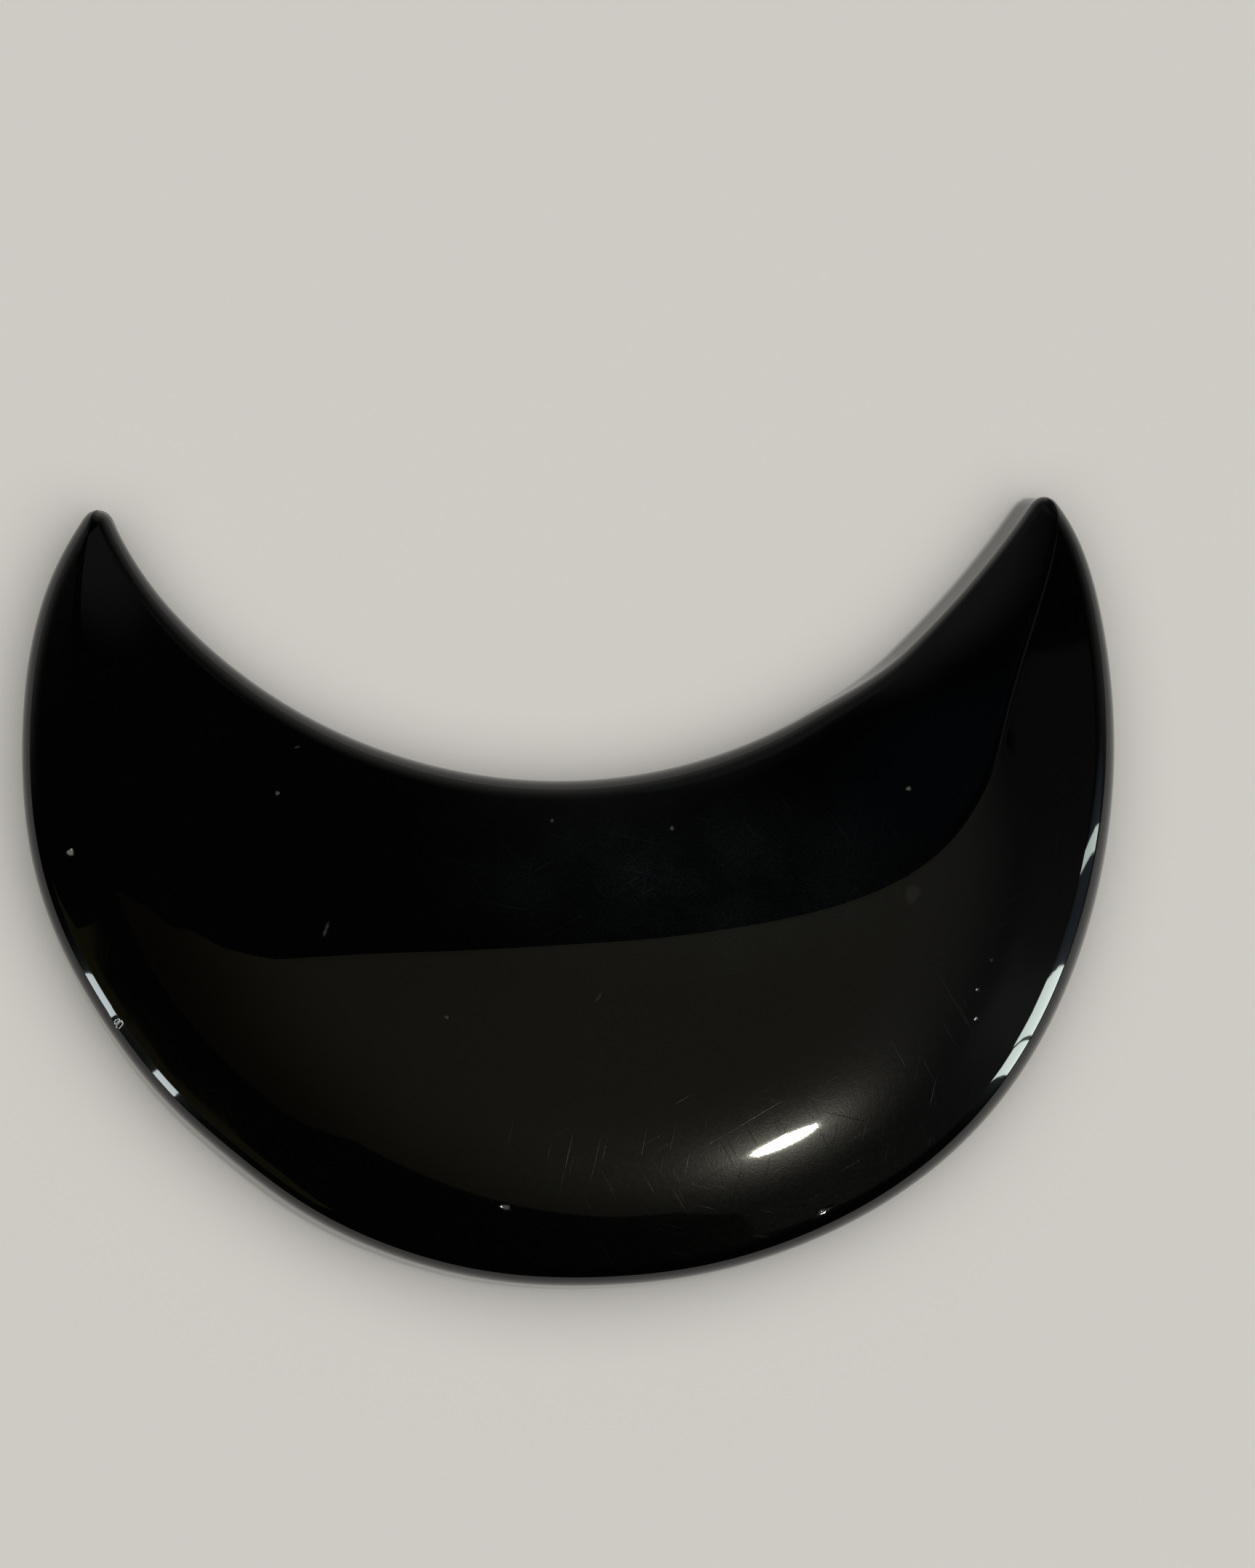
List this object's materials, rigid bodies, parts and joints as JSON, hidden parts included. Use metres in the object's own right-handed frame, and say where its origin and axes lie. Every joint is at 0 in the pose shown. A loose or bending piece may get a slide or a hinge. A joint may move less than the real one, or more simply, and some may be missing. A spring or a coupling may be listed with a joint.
{
  "type": "gua sha scraper",
  "caption": "Crescent-shaped massage stone: a polished black block with a domed face, a flat back, a round outer edge, a hollow inner edge and two blunt horn tips.",
  "frame": {"origin": "centre of the bounding box, on the flat back that the stone lies on", "axes": "+Z out of the domed face, +X across the crescent towards the right horn, +Y towards the horn tips"},
  "size_m": [0.1008, 0.0742, 0.0115],
  "materials": {
    "stone": "polished near-black volcanic glass with fine hairline scratches and a few small pits"
  },
  "bodies": {
    "root": {"crescent_stone": "stone"}
  },
  "joints": []
}
